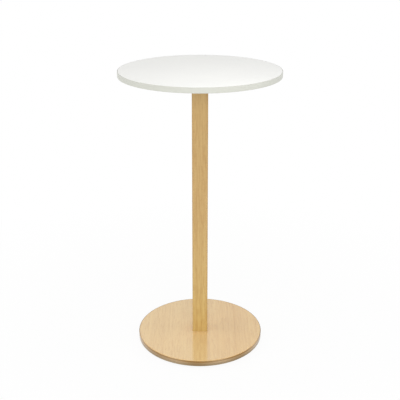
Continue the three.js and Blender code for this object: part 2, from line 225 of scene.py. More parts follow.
def around(angles, *bands):
    """A grid of points (r cos a, r sin a, h), with one column for each angle a.

    Each band is a pair of arrays, the radii r and the heights h of some rows. A column of radii makes a
    turned surface, and a whole grid of them lets the radius change with the angle.
    """
    spread = [np.broadcast_arrays(radius, height, angles) for radius, height in bands]
    radius = np.concatenate([band[0] for band in spread])
    height = np.concatenate([band[1] for band in spread])
    return np.stack([radius * np.cos(angles), radius * np.sin(angles), height], -1)


def band_of(profile):
    """A profile of (radius, height) points as a band for around()."""
    return profile[:, :1], profile[:, 1:]


def rows_at(*heights):
    """A column of heights."""
    return np.array(heights)[:, None]


def eased(corners, rounds):
    """A profile with each corner C rounded off, or left sharp where its rounding is 0.

    The rounding cuts both sides back, to A and B, and the points between are the parabola
    (1-t)^2 A + 2t(1-t) C + t^2 B. One more point on each side keeps the flats flat in the shading.
    """
    corner = np.array(corners, float)
    cut = np.array(rounds, float)[:, None]
    back = np.roll(corner, 1, 0) - corner
    on = np.roll(corner, -1, 0) - corner
    back = back * cut / np.linalg.norm(back, axis=1, keepdims=True)
    on = on * cut / np.linalg.norm(on, axis=1, keepdims=True)
    t = np.linspace(0, 1, ROUND_STEPS + 1)[:, None]
    curve = (1 - t) ** 2 * back[:, None] + t ** 2 * on[:, None]
    offsets = np.concatenate([FLAT_HOLD * back[:, None], curve, FLAT_HOLD * on[:, None]], 1)
    profile = (corner[:, None] + offsets).reshape(-1, 2)
    moved_on = np.abs(np.diff(profile, axis=0)).max(1) > TINY
    return profile[np.append(True, moved_on)]


# Outlines, as a radius for each angle

def hexagon(angles, flats):
    """Half the width across flats, over the cosine of the angle to the nearest flat's middle."""
    return flats / 2 / np.cos((angles + math.pi / 6) % (math.pi / 3) - math.pi / 6)


def square(angles, width):
    """Half the width, over the larger of the angle's cosine and sine."""
    return width / 2 / np.maximum(np.abs(np.cos(angles)), np.abs(np.sin(angles)))


def rounded_square(angles, width, corner):
    """The square's radius along its sides, and in its corners the ray's far crossing of the corner's arc."""
    reach = width / 2 - corner
    along = reach * (np.abs(np.cos(angles)) + np.abs(np.sin(angles)))
    arc = along + np.sqrt(np.maximum(along ** 2 - 2 * reach ** 2 + corner ** 2, 0))
    side = square(angles, width)
    from_middle = side * np.minimum(np.abs(np.cos(angles)), np.abs(np.sin(angles)))
    return np.where(from_middle > reach, arc, side)


def cross(angles):
    """Two crossed slots: the nearer of a slot's end and its side, along each ray from the middle."""
    folded = (angles + math.pi / 4) % QUARTER_TURN - math.pi / 4
    side = CROSS_WIDTH / 2 / np.maximum(np.abs(np.sin(folded)), TINY)
    return np.minimum(CROSS_LENGTH / 2 / np.cos(folded), side)


def cross_angles():
    """Angles all the way round that meet each corner of the cross, with equal steps between its corners."""
    tip = math.atan2(CROSS_WIDTH, CROSS_LENGTH)
    turns = [-math.pi / 4, -tip, tip, math.pi / 4]
    steps = [np.linspace(start, end, CROSS_STEPS, endpoint=False) for start, end in zip(turns, turns[1:])]
    quarter = np.concatenate(steps)
    whole = (quarter + QUARTER_TURN * np.arange(4)[:, None]).ravel()
    return np.append(whole, whole[0] + FULL_TURN)


# Fasteners, drawn pointing up, with the face of the head at height 0

def thread(angles, diameter, root, pitch, low, high, ridge=1.0):
    """A right-hand thread between two heights, as a band.

    Along the helix height = pitch x angle / full turn, the radius climbs from the root to the crest and
    back within a share of each pitch. The ridge fades in and out over the first and the last pitch.
    """
    rows = round((high - low) / pitch * THREAD_ROWS)
    height = np.linspace(low, high, rows + 1)[:, None]
    phase = (height / pitch - angles / FULL_TURN) % 1
    climb = np.clip(1 - np.abs(2 * phase - 1) / ridge, 0, 1)
    fade = np.clip((height - low) / pitch, 0, 1) * np.clip((high - height) / pitch, 0, 1)
    return (root + (diameter - root) * climb * fade) / 2, height


def machine_thread(angles, diameter, pitch, low, high):
    """A bolt's thread, whose last stretch narrows evenly to a chamfered end."""
    root = diameter - THREAD_DEPTH_SHARE * pitch
    radius, height = thread(angles, diameter, root, pitch, low, high)
    end_radius = root / 2 - THREAD_CHAMFER / 2
    chamfer = end_radius + np.maximum(high - height, 0)
    return np.minimum(radius, chamfer), height


def recess(mouth, taper, depth):
    """A recess in a head, as a band: a shallow point on the axis, the floor, and the mouth at height 0."""
    radius = np.stack([0 * mouth, taper * mouth, mouth])
    return radius, rows_at(RECESS_POINT * depth, depth, 0)


def wood_screw(head, length):
    """Cross recess, head and thread in turn, with the thread's radius shrinking evenly over the point."""
    angles = cross_angles()
    slots = recess(cross(angles), CROSS_TAPER, CROSS_DEPTH)
    neck = head[-1, 1]
    radius, height = thread(angles, SCREW_DIAMETER, SCREW_ROOT, SCREW_PITCH, neck, length, SCREW_RIDGE)
    pointed = radius * np.clip((length - height) / SCREW_POINT, 0, 1)
    return around(angles, slots, band_of(head), (pointed, height))


def pan_head():
    """Outline of a wood screw's domed head, from round its recess to its shank."""
    radius = HEAD_DIAMETER / 2
    corners = [(CROSS_MOUTH, 0), (radius, 0), (radius, HEAD_HEIGHT), (SCREW_ROOT / 2, HEAD_HEIGHT)]
    return eased(corners, [0, PAN_CROWN, SMALL_ROUND, 0])


def flush_head(diameter, height, mouth, shank):
    """Outline of a countersunk head, from round its recess to its shank."""
    corners = [(mouth, 0), (diameter / 2, 0), (diameter / 2, HEAD_RIM), (shank / 2, height)]
    return eased(corners, [0, SMALL_ROUND, SMALL_ROUND, 0])


def flush_screw_head():
    """Outline of a wood screw's countersunk head."""
    return flush_head(HEAD_DIAMETER, HEAD_HEIGHT, CROSS_MOUTH, SCREW_ROOT)


def socket_bolt(length):
    """Hexagon socket, countersunk head, thread and flat end in turn."""
    angles = turn(FASTENER_SIDES)
    root = BOLT_DIAMETER - THREAD_DEPTH_SHARE * BOLT_PITCH
    head = flush_head(BOLT_HEAD_DIAMETER, BOLT_HEAD_HEIGHT, SOCKET_MOUTH, root)
    shank = machine_thread(angles, BOLT_DIAMETER, BOLT_PITCH, BOLT_HEAD_HEIGHT, length)
    socket = recess(hexagon(angles, SOCKET_FLATS), 1, SOCKET_DEPTH)
    return around(angles, socket, band_of(head), shank, (rows_at(0), rows_at(length)))


def hex_collar(angles, flats, low, high):
    """A hexagon chamfered at both ends, as a band: the smaller of its outline and a cone from each end."""
    height = np.linspace(low, high, HEX_ROWS)[:, None]
    from_end = np.minimum(height - low, high - height)
    cone = HEX_CHAMFER_START * flats / 2 + HEX_CHAMFER_SLOPE * from_end
    return np.minimum(hexagon(angles, flats), cone), height


def hex_nut(flats, bore, low, high):
    """A chamfered hexagon, and back down inside it a bore with chamfered mouths."""
    angles = turn(FASTENER_SIDES)
    outline, height = hex_collar(angles, flats, low, high)
    mouth = bore + BORE_CHAMFER
    inside = np.array([(mouth, high), (bore, high - BORE_CHAMFER), (bore, low + BORE_CHAMFER), (mouth, low)])
    return around(angles, (outline, height), band_of(inside), (outline[:1], height[:1]))


def half_rod(length):
    """The upper half of a rod, up from its middle at height 0: a plain shank and a threaded end."""
    angles = turn(FASTENER_SIDES)
    thread_low = length - ROD_THREAD
    shank = rows_at(BOLT_DIAMETER, BOLT_DIAMETER) / 2, rows_at(0, thread_low)
    threaded = machine_thread(angles, BOLT_DIAMETER, BOLT_PITCH, thread_low, length)
    return around(angles, shank, threaded, (rows_at(0), rows_at(length)))


def turned_over(grid):
    """A grid turned by half a turn about X, which leaves a right-hand thread right-handed."""
    return grid * np.array([1, -1, -1])


def glide_stud(flats, foot, collar_low, collar_high, top):
    """Foot, neck, hexagonal collar and thread in turn, from the foot's height up to the top."""
    angles = turn(FASTENER_SIDES)
    foot_top = foot + GLIDE_FOOT_HEIGHT
    corners = [(0, foot), (GLIDE_FOOT / 2, foot), (GLIDE_FOOT / 2, foot_top), (GLIDE_NECK / 2, foot_top)]
    lower = eased([*corners, (GLIDE_NECK / 2, collar_low)], [0, SMALL_ROUND, SMALL_ROUND, 0, 0])
    collar = hex_collar(angles, flats, collar_low, collar_high)
    shank = machine_thread(angles, GLIDE_THREAD, GLIDE_PITCH, collar_high, top)
    return around(angles, band_of(lower), collar, shank, (rows_at(0), rows_at(top)))


def glide_pad(radius, height):
    """A turned pad: a flat sole, a crowned rim, and the socket that holds the stud's foot."""
    neck = GLIDE_NECK / 2 + BORE_GAP
    socket = GLIDE_FOOT / 2 + BORE_GAP
    socket_top = PAD_FLOOR + GLIDE_FOOT_HEIGHT + 2 * SEAT_GAP
    outside = [(0, 0), (radius, 0), (radius, height), (neck, height)]
    inside = [(neck, socket_top), (socket, socket_top), (socket, PAD_FLOOR), (0, PAD_FLOOR)]
    profile = eased(outside + inside, [0, PAD_CHAMFER, PAD_CROWN, SMALL_ROUND, 0, 0, 0, 0])
    return around(turn(FASTENER_SIDES), band_of(profile))


# Sheets, bands, plates and boards

def disc(radius, low, high):
    """A flat disc with barely eased edges."""
    profile = eased([(0, low), (radius, low), (radius, high), (0, high)], [0, SHEET_ROUND, SHEET_ROUND, 0])
    return around(turn(TABLE_SIDES), band_of(profile))


def mortised_disc(radius, mortise, low, high):
    """A flat disc with a square hole: rows go from the hole out to the rim, up, back in and down the hole."""
    angles = turn(TABLE_SIDES)
    hole = square(angles, mortise)
    corners = [(mortise, low), (radius, low), (radius, high), (mortise, high)]
    rim = eased(corners, [0, SHEET_ROUND, SHEET_ROUND, 0])
    return around(angles, (hole, rows_at(low)), band_of(rim), (hole, rows_at(high, low)))


def edge_band(inner, outer, low, high):
    """A ring with rounded outer edges, whose radius dips at the back in a groove where its ends meet."""
    near_joint = np.array([0.5, 1]) * BAND_JOINT_WIDTH / outer
    between = turn(TABLE_SIDES)[1:-1]
    angles = np.concatenate([[0], near_joint, between, FULL_TURN - near_joint[::-1], [FULL_TURN]])
    from_joint = np.minimum(angles, FULL_TURN - angles) * outer
    groove = BAND_JOINT_DEPTH * np.clip(1 - 2 * from_joint / BAND_JOINT_WIDTH, 0, 1)
    corners = [(inner, low), (outer, low), (outer, high), (inner, high)]
    profile = eased(corners, [SMALL_ROUND, BAND_ROUND, BAND_ROUND, SMALL_ROUND])
    radius, height = band_of(np.concatenate([profile, profile[:1]]))
    outward = (radius - inner) / (outer - inner)
    return around(angles + QUARTER_TURN, (radius - groove * outward, height))


def plate_edge(low, high):
    """Rows of a plate's rounded edge, as (distance in from the outline, height)."""
    hold = 2 * PLATE_ROUND
    return eased([(hold, low), (0, low), (0, high), (hold, high)], [0, PLATE_ROUND, PLATE_ROUND, 0])


def square_plate_rim(width, corner, low, high):
    """The rounded edge carried round a square with rounded corners."""
    angles = turn(PLATE_SIDES)
    inset, height = band_of(plate_edge(low, high))
    return around(angles, (rounded_square(angles, width - 2 * inset, corner - inset), height))


def round_plate_rim(radius, low, high):
    """The rounded edge carried round a circle."""
    inset, height = band_of(plate_edge(low, high))
    return around(turn(PLATE_SIDES), (radius - inset, height))


def straight_hole(diameter, low, high):
    """Wall of a plain hole, as (radius, height) from its lower to its upper end."""
    radius = diameter / 2 + BORE_GAP
    return np.array([(radius, low), (radius, high)])


def flush_hole(head, shank, seat, head_height, mouth, end):
    """Wall of a countersunk hole: its mouth, the head's rim past its seat, the cone, and the shank's hole."""
    inward = math.copysign(1, end - mouth)
    wide = head / 2 + BORE_GAP
    narrow = shank / 2 + BORE_GAP
    rim = seat + inward * HEAD_RIM
    neck = seat + inward * head_height
    wall = np.array([(wide, mouth), (wide, rim), (narrow, neck), (narrow, end)])
    return wall[::round(inward)]


def holes_at(places, wall):
    """The same wall turned about each place."""
    turned = around(turn(HOLE_SIDES), band_of(wall))
    return [turned + np.array([x, y, 0]) for x, y in places]


def column_outline(half_width):
    """Plan of the front board, from above.

    Its outer corners are halves of the column's rounded arrises, the same parabola from t = 0 to t = 1/2,
    and its ends are mitred, so that nothing passes the line |x| = -y less the gap.
    """
    t = np.linspace(0, 0.5, ROUND_STEPS)[:, None]
    flat = np.array([(half_width - FLAT_HOLD * ARRIS_ROUND, -half_width)])
    corner = np.array([half_width, -half_width])
    arris = corner + ARRIS_ROUND * ((1 - t) ** 2 * np.array([-1, 0]) + t ** 2 * np.array([0, 1]))
    inner = half_width - COLUMN_WALL
    right = np.concatenate([flat, arris, [(inner, -inner)]])
    right[:, 0] = np.minimum(right[:, 0], -right[:, 1] - MITRE_GAP)
    return np.concatenate([right, right[::-1] * np.array([-1, 1])])


def carried_up(outline, low, high):
    """A plan outline at two heights, closed on itself."""
    loop = np.concatenate([outline, outline[:1]])
    return np.stack([np.insert(loop, 2, height, 1) for height in (low, high)])


def flat_face(loops):
    """A flat face between a rim and the holes in it.

    Its triangles join the loops' own points. Those with all three points on one hole cover that hole, and
    are left out.
    """
    points = np.concatenate(loops)
    owner = np.repeat(np.arange(len(loops)), [len(loop) for loop in loops])
    following = np.concatenate([np.roll(np.flatnonzero(owner == loop), -1) for loop in range(len(loops))])
    edges = np.stack([np.arange(len(points)), following], -1)
    within_rim = 1
    joined = delaunay_2d_cdt(points[:, :2].tolist(), edges.tolist(), [], within_rim, TINY)
    triangles = np.array(joined[2])
    owners = owner[triangles]
    over_hole = (owners == owners[:, :1]).all(1) & (owners[:, 0] > 0)
    return points, triangles[~over_hole]


def drilled(rim, through, blind=()):
    """A plate's surfaces: its rim, its holes, and the flat faces between them.

    Blind holes open only upwards.
    """
    lower = flat_face([wall[0, :-1] for wall in (rim, *through)])
    upper = flat_face([wall[-1, :-1] for wall in (rim, *through, *blind)])
    return [skin(wall) for wall in (rim, *through, *blind)] + [lower, upper]


# Meshes

def skin(grid):
    """A grid's points, and the four-sided faces between its neighbouring rows and columns."""
    rows, columns = grid.shape[:2]
    number = np.arange(rows * columns).reshape(rows, columns)
    faces = np.stack([number[:-1, :-1], number[:-1, 1:], number[1:, 1:], number[1:, :-1]], -1)
    return grid.reshape(-1, 3), faces.reshape(-1, 4)


def weld(mesh):
    """Merges the points that surfaces share, which closes seams and poles, and turns the faces outwards."""
    built = bmesh.new()
    built.from_mesh(mesh)
    bmesh.ops.remove_doubles(built, verts=built.verts, dist=WELD_DISTANCE)
    bmesh.ops.recalc_face_normals(built, faces=built.faces)
    built.to_mesh(mesh)
    built.free()


def add_mesh(name, surfaces, finish):
    """An object at the origin that holds some surfaces, shaded smooth but for its sharp edges."""
    starts = np.cumsum([0] + [len(points) for points, _ in surfaces])
    points = np.concatenate([points for points, _ in surfaces])
    faces = [face for start, (_, grid) in zip(starts, surfaces) for face in (grid + start).tolist()]
    mesh = bpy.data.meshes.new(name)
    mesh.from_pydata(points.tolist(), [], faces)
    weld(mesh)
    mesh.materials.append(finish)
    mesh.shade_smooth()
    mesh.set_sharp_from_angle(angle=SHARP_ANGLE)
    made = bpy.data.objects.new(name, mesh)
    bpy.context.scene.collection.objects.link(made)
    return made


def add_piece(name, surfaces, finish, node, body="table"):
    """A piece of the table that rides on a body and stands for one of the solids."""
    piece = add_mesh(name, surfaces, finish)
    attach(piece, body)
    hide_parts(node)


def extent(node):
    """Lowest and highest corner of a solid, as arrays."""
    low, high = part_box(node)
    return np.array(low), np.array(high)


def spot(node):
    """Middle of a solid in plan."""
    low, high = extent(node)
    return (low[:2] + high[:2]) / 2


def spots(kind, count):
    """Middles in plan of the solids of one kind, which are numbered from 1."""
    return [spot(f"{kind}_{number}") for number in range(1, count + 1)]


# Shader trees

def pick(sockets, key):
    """A socket by its number or its identifier."""
    if isinstance(key, int):
        return sockets[key]
    return next(socket for socket in sockets if socket.identifier == key)


class Wire:
    """An output in a shader tree. Sums on wires add Math nodes, and node() adds any other node."""

    def __init__(self, tree, source=None):
        self.tree = tree
        self.source = source

    def node(self, kind, settings=None, inputs=None, output=0):
        """A new node, with its settings first, then a value or a wire for each named input."""
        made = self.tree.nodes.new(kind)
        for name, setting in (settings or {}).items():
            setattr(made, name, setting)
        for key, value in (inputs or {}).items():
            socket = pick(made.inputs, key)
            if isinstance(value, Wire):
                self.tree.links.new(value.source, socket)
            else:
                socket.default_value = value
        if isinstance(output, tuple):
            return [Wire(self.tree, pick(made.outputs, key)) for key in output]
        return Wire(self.tree, pick(made.outputs, output)) if made.outputs else None

    def maths(self, operation, *terms, clamp=False):
        """A Math node on numbers and wires."""
        settings = {"operation": operation, "use_clamp": clamp}
        return self.node("ShaderNodeMath", settings, dict(enumerate(terms)))

    def __add__(self, other):
        return self.maths("ADD", self, other)

    def __radd__(self, other):
        return self.maths("ADD", other, self)

    def __sub__(self, other):
        return self.maths("SUBTRACT", self, other)

    def __rsub__(self, other):
        return self.maths("SUBTRACT", other, self)

    def __mul__(self, other):
        return self.maths("MULTIPLY", self, other)

    def __rmul__(self, other):
        return self.maths("MULTIPLY", other, self)

    def short_of(self, limit):
        """How far the value is below a limit."""
        return self.maths("SUBTRACT", limit, self)

    def share(self, start, end):
        """How far the value has gone from start to end, held between 0 and 1."""
        slope = 1 / (end - start)
        return self.maths("MULTIPLY_ADD", self, slope, -start * slope, clamp=True)


def tone(code):
    """A colour of six hexadecimal digits, made linear."""
    coded = np.array([int(code[place:place + 2], 16) for place in (0, 2, 4)]) / 255
    linear = np.where(coded <= 0.04045, coded / 12.92, ((coded + 0.055) / 1.055) ** 2.4)
    return (*linear.tolist(), 1.0)


def mixed(factor, first, second):
    """Two colours mixed by a wire."""
    settings = {"data_type": "RGBA"}
    inputs = {"Factor_Float": factor, "A_Color": first, "B_Color": second}
    return factor.node("ShaderNodeMix", settings, inputs, "Result_Color")


def tinted(colour, tint):
    """A colour with each of its parts scaled."""
    return colour.node("ShaderNodeVectorMath", {"operation": "MULTIPLY"}, {0: colour, 1: tint})


def noise(place, across, along, detail=2.0):
    """Noise with so many waves to the metre across the grain, in X and Y, and along it, in Z."""
    stretched = place.node("ShaderNodeMapping", None, {"Vector": place, "Scale": (across, across, along)})
    return place.node("ShaderNodeTexNoise", None, {"Vector": stretched, "Scale": 1.0, "Detail": detail})


def even_noise(place, waves, detail=2.0):
    """Noise with so many waves to the metre in every direction."""
    return noise(place, waves, waves, detail)


def chips(place, across):
    """Random cells, so many to the metre, each of one value."""
    settings = {"feature": "F1"}
    cell = place.node("ShaderNodeTexVoronoi", settings, {"Vector": place, "Scale": across}, "Color")
    return place.node("ShaderNodeSeparateXYZ", None, {"Vector": cell}, "X")


def relief(height, depth):
    """A bump of so many metres."""
    return height.node("ShaderNodeBump", None, {"Strength": 1.0, "Distance": depth, "Height": height})


def new_finish(name):
    """An empty material, and a wire to start its tree with."""
    finish = bpy.data.materials.new(name)
    finish.use_nodes = True
    finish.node_tree.nodes.clear()
    return finish, Wire(finish.node_tree)


def show(wire, inputs):
    """Ends a material's tree in one shader with these inputs."""
    shader = wire.node("ShaderNodeBsdfPrincipled", None, inputs)
    wire.node("ShaderNodeOutputMaterial", None, {"Surface": shader})


def own_place(wire, shift=(0, 0, 0), turned=(0, 0, 0)):
    """The object's own coordinates, turned and shifted."""
    place = wire.node("ShaderNodeTexCoord", None, None, "Object")
    return wire.node("ShaderNodeMapping", None, {"Vector": place, "Location": shift, "Rotation": turned})


def axes(place):
    """The three coordinates of a place."""
    return place.node("ShaderNodeSeparateXYZ", None, {"Vector": place}, ("X", "Y", "Z"))


def from_axis(x, y):
    """Distance from the table's upright axis."""
    return x.maths("SQRT", x * x + y * y)


def ring_place(wire, radius):
    """A place on a ring: its height, its distance from the axis, and the length round from its front."""
    x, y, z = axes(own_place(wire))
    angle = wire.maths("ARCTAN2", x, y * -1)
    return wire.node("ShaderNodeCombineXYZ", None, {"X": z, "Y": from_axis(x, y), "Z": angle * radius})


def looked_at(wire):
    """1 where something is seen, in a mirror and through glass too, and 0 where it only gives light."""
    kinds = ("Is Camera Ray", "Is Glossy Ray", "Is Transmission Ray")
    camera, mirror, glass = wire.node("ShaderNodeLightPath", None, None, kinds)
    return wire.maths("MAXIMUM", wire.maths("MAXIMUM", camera, mirror), glass)


# Finishes

def white_laminate():
    """Satin white sheet with a fine pearled surface."""
    finish, wire = new_finish("white_laminate")
    place = own_place(wire)
    cloud = even_noise(place, 3.0)
    pearl = even_noise(place, 1400.0)
    show(wire, {
        "Base Color": mixed(cloud.share(0.35, 0.65), tone("ededea"), tone("f1f1ed")),
        "Roughness": 0.30 + 0.12 * pearl,
        "Normal": relief(pearl, 0.004 * MM),
    })
    return finish


def white_edging(radius):
    """White band with faint lines along it from its making."""
    finish, wire = new_finish("white_edging")
    lines = noise(ring_place(wire, radius), across=900.0, along=4.0)
    show(wire, {
        "Base Color": mixed(lines.share(0.3, 0.7), tone("cccdc4"), tone("d2d3ca")),
        "Roughness": 0.32 + 0.14 * lines,
        "Normal": relief(lines, 0.006 * MM),
    })
    return finish


def board_core():
    """Pressed chips in several browns."""
    finish, wire = new_finish("board_core")
    place = own_place(wire)
    chip = chips(place, 420.0)
    dust = even_noise(place, 900.0)
    colour = mixed(chip, tone("9a7750"), tone("c5a479"))
    show(wire, {
        "Base Color": mixed(dust.share(0.4, 0.8) * 0.5, colour, tone("7d5c3a")),
        "Roughness": 0.78 + 0.2 * dust,
        "Normal": relief(chip + dust, 0.06 * MM),
    })
    return finish


def timber(place, tones, figure):
    """Straight grain along Z: broad bands, narrower streaks, fine lines, short flecks and dark pores.

    The tones run from pale to dark, and the figure says how strongly the streaks show. The colour comes
    back with the fine lines and the pores.
    """
    pale, middle, deep, dark = [tone(code) for code in tones]
    broad = noise(place, across=34.0, along=0.5).share(0.36, 0.64)
    streaks = noise(place, across=95.0, along=1.1, detail=3.0).share(0.42, 0.66)
    lines = noise(place, across=600.0, along=4.0, detail=3.0).share(0.35, 0.75)
    flecks = noise(place, across=190.0, along=20.0).share(0.48, 0.68)
    pores = noise(place, across=1300.0, along=75.0, detail=1.0).share(0.60, 0.72)
    colour = mixed(broad, pale, middle)
    colour = mixed(streaks * figure, colour, deep)
    colour = mixed(lines * LINE_SHADE, colour, deep)
    colour = mixed(flecks * FLECK_SHADE, colour, deep)
    colour = mixed(pores * PORE_SHADE, colour, dark)
    return colour, lines, pores


def grain_relief(lines, pores, depth):
    """A timber's bump: its pores sunk by the depth, and its fine lines by less."""
    return relief(1 - pores - LINE_DEPTH * lines, depth)


def broad_streaks(across, streaks):
    """Soft streaks along the grain, each of a place across it, a half width and a strength.

    A streak fades evenly from its middle: strength x (1 - distance / half width), and nothing beyond.
    """
    shades = []
    for place, half_width, strength in streaks:
        distance = across.maths("ABSOLUTE", across - place)
        shades.append(strength * distance.share(half_width, 0))
    return sum(shades)


def column_timber(side, quarter, half_width):
    """Timber of one column board, with painted light towards its foot and painted shade along its arrises.

    Each board is shifted in the grain, so that it is another length of the same wood.
    """
    finish, wire = new_finish("column_timber_" + side)
    shift = np.array(GRAIN_START) + quarter * np.array(GRAIN_STEP)
    colour, lines, pores = timber(own_place(wire, tuple(shift)), COLUMN_TONES, figure=0.45)
    x, y, height = axes(own_place(wire))
    # Painted light, brighter towards the foot
    colour = mixed(height.share(*PAINTED_FOOT_LIGHT_FADE), colour, tinted(colour, PAINTED_FOOT_LIGHT_TINT))
    # Painted shade, darker along the arrises where they turn from the light
    across = wire.maths("MINIMUM", wire.maths("ABSOLUTE", x), wire.maths("ABSOLUTE", y))
    corner = across.short_of(half_width).share(*PAINTED_ARRIS_SHADE_FADE)
    show(wire, {
        "Base Color": mixed(corner * PAINTED_ARRIS_SHADE, colour, tone("b08a58")),
        "Roughness": 0.40 + 0.12 * lines,
        "Normal": grain_relief(lines, pores, 0.03 * MM),
    })
    return finish


def plug_timber():
    """Plain unfinished timber."""
    finish, wire = new_finish("plug_timber")
    colour, lines, pores = timber(own_place(wire), PLUG_TONES, figure=0.5)
    show(wire, {
        "Base Color": colour,
        "Roughness": 0.7 + 0.15 * lines,
        "Normal": grain_relief(lines, pores, 0.05 * MM),
    })
    return finish


def base_veneer(radius):
    """Sheet of timber with its grain from front to back, under gloss lacquer.

    It is deeper and more figured to the right, has a few soft streaks, and has a painted highlight along its
    front rim.
    """
    finish, wire = new_finish("base_veneer")
    place = own_place(wire, VENEER_START, (QUARTER_TURN, 0, 0))
    x, y, _ = axes(own_place(wire))
    to_right = x.share(*RIGHT_FADE)
    colour, lines, pores = timber(place, VENEER_TONES, figure=0.2 + 0.35 * to_right)
    colour = mixed(to_right, colour, tinted(colour, RIGHT_TINT))
    colour = mixed(broad_streaks(x, VENEER_STREAKS), colour, tinted(colour, STREAK_TINT))
    # Painted highlight: the rim is paler towards the front
    rim = from_axis(x, y).short_of(radius).share(*RIM_HIGHLIGHT_FADE)
    colour = mixed(rim * y.share(*FRONT_HIGHLIGHT_FADE), colour, tinted(colour, RIM_HIGHLIGHT_TINT))
    show(wire, {
        "Base Color": colour,
        "Roughness": 0.40 + 0.10 * lines,
        "Specular IOR Level": 0.0,
        "Normal": relief(1 - pores, 0.004 * MM),
        "Coat Weight": 1.0,
        "Coat Roughness": 0.12,
        "Coat IOR": 2.0,
    })
    return finish


def base_edging(radius, low, high):
    """Layered timber band with its grain along it, rippled from light to dark, under lacquer.

    From its upper edge down: an arris with a painted highlight at the front, a deep golden layer, a paler
    layer, and a brown one, darkened further by painted shade near the floor. The ripple is a cosine of the
    length round the band.
    """
    finish, wire = new_finish("base_edging")
    place = ring_place(wire, radius)
    z, _, length = axes(place)
    wave = 0.5 + 0.5 * wire.maths("COSINE", (length - RIPPLE_CREST) * (FULL_TURN / RIPPLE_LENGTH))
    ripple = wave * length.share(*RIPPLE_FADE)
    colour, lines, pores = timber(place, BAND_TONES, figure=0.6)
    colour = mixed(ripple, colour, tinted(colour, RIPPLE_TINT))
    depth = z.short_of(high)
    golden = depth.share(*GOLDEN_FADE) * (0.45 + 0.55 * ripple)
    # Brown lower layer, with painted shade near the floor
    brown = (z - low).share(*BROWN_AND_SHADE_FADE)
    # Painted highlight: the arris is paler towards the front
    _, y, _ = axes(own_place(wire))
    arris = depth.share(*ARRIS_HIGHLIGHT_FADE) * y.share(*FRONT_HIGHLIGHT_FADE)
    colour = mixed(golden, colour, tone("916510"))
    colour = mixed(brown, colour, tinted(colour, BROWN_AND_SHADE_TINT))
    colour = mixed(arris, colour, tone("f2ca8c"))
    show(wire, {
        "Base Color": colour,
        "Roughness": 0.38 + 0.1 * lines,
        "Specular IOR Level": 0.0,
        "Normal": grain_relief(lines, pores, 0.02 * MM),
        "Coat Weight": 1.0,
        "Coat Roughness": 0.2,
        "Coat IOR": 1.6,
    })
    return finish


def black_steel():
    """Black powder coat with a fine pebbled skin."""
    finish, wire = new_finish("black_steel")
    place = own_place(wire)
    pebble = even_noise(place, 1100.0)
    cloud = even_noise(place, 14.0)
    show(wire, {
        "Base Color": mixed(cloud, tone("191a1c"), tone("212225")),
        "Roughness": 0.42 + 0.2 * pebble,
        "Normal": relief(pebble, 0.05 * MM),
    })
    return finish


def zinc_steel():
    """Bright zinc plating with a faint yellow cast in places."""
    finish, wire = new_finish("zinc_steel")
    place = own_place(wire)
    cast = even_noise(place, 60.0)
    grime = even_noise(place, 500.0)
    show(wire, {
        "Base Color": mixed(cast.share(0.35, 0.7), tone("b9bcc0"), tone("c2bda9")),
        "Roughness": 0.24 + 0.22 * grime,
        "Metallic": 1.0,
        "Normal": relief(grime, 0.01 * MM),
    })
    return finish


def black_nylon():
    """Moulded black plastic with a fine spark texture, paler where the floor has scuffed it."""
    finish, wire = new_finish("black_nylon")
    place = own_place(wire)
    spark = even_noise(place, 2200.0)
    scuffs = even_noise(place, 260.0, detail=4.0).share(0.55, 0.75)
    _, _, z = axes(place)
    worn = scuffs * z.share(2 * MM, 0)
    show(wire, {
        "Base Color": mixed(worn, tone("232427"), tone("4a4b4d")),
        "Roughness": 0.48 + 0.2 * spark,
        "Normal": relief(spark, 0.03 * MM),
    })
    return finish


# Pieces

def make_tabletop():
    """White sheet, edge band and drilled backing sheet."""
    low, high = extent("tabletop_laminate")
    band_low, band_high = extent("tabletop_edge_band")
    sheet = white_laminate()
    face = disc(high[0], low[2], high[2])
    add_piece("top_sheet", [skin(face)], sheet, "tabletop_laminate")
    band = edge_band(high[0] + GLUE_LINE, band_high[0], band_low[2], band_high[2])
    edging = white_edging(band_high[0])
    add_piece("top_edging", [skin(band)], edging, "tabletop_edge_band")
    low, high = extent("tabletop_backer")
    rim = disc(high[0], low[2], high[2])[1:-1]
    pilots = holes_at(spots("top_plate_screw", TOP_SCREWS), straight_hole(SCREW_DIAMETER, low[2], high[2]))
    add_piece("top_backing_sheet", drilled(rim, pilots), sheet, "tabletop_backer")


def add_screws(name, kind, count, head, zinc, downwards=False):
    """Wood screws in place of the solids of one kind, pointing up from their heads, or down."""
    for number in range(1, count + 1):
        node = f"{kind}_{number}"
        low, high = extent(node)
        screw = wood_screw(head, high[2] - low[2])
        if downwards:
            screw = turned_over(screw)
        head_height = high[2] if downwards else low[2]
        screw = screw + np.append(spot(node), head_height)
        add_piece(f"{name}_{number}", [skin(screw)], zinc, node)


def make_top_plate(steel, zinc):
    """Square plate with its plain and countersunk holes, and its screws into the top and the column."""
    low, high = extent("top_plate")
    rim = square_plate_rim(high[0] - low[0], TOP_PLATE_CORNER, low[2], high[2])
    seat = extent("column_screw_1")[1][2]
    countersunk = flush_hole(HEAD_DIAMETER, SCREW_DIAMETER, seat, HEAD_HEIGHT, high[2], low[2])
    plain = holes_at(spots("top_plate_screw", TOP_SCREWS), straight_hole(SCREW_DIAMETER, low[2], high[2]))
    flush = holes_at(spots("column_screw", COLUMN_SCREWS), countersunk)
    add_piece("head_plate", drilled(rim, plain + flush), steel, "top_plate")
    add_screws("head_plate_fixing", "top_plate_screw", TOP_SCREWS, pan_head(), zinc)
    add_screws("column_fixing", "column_screw", COLUMN_SCREWS, flush_screw_head(), zinc, downwards=True)


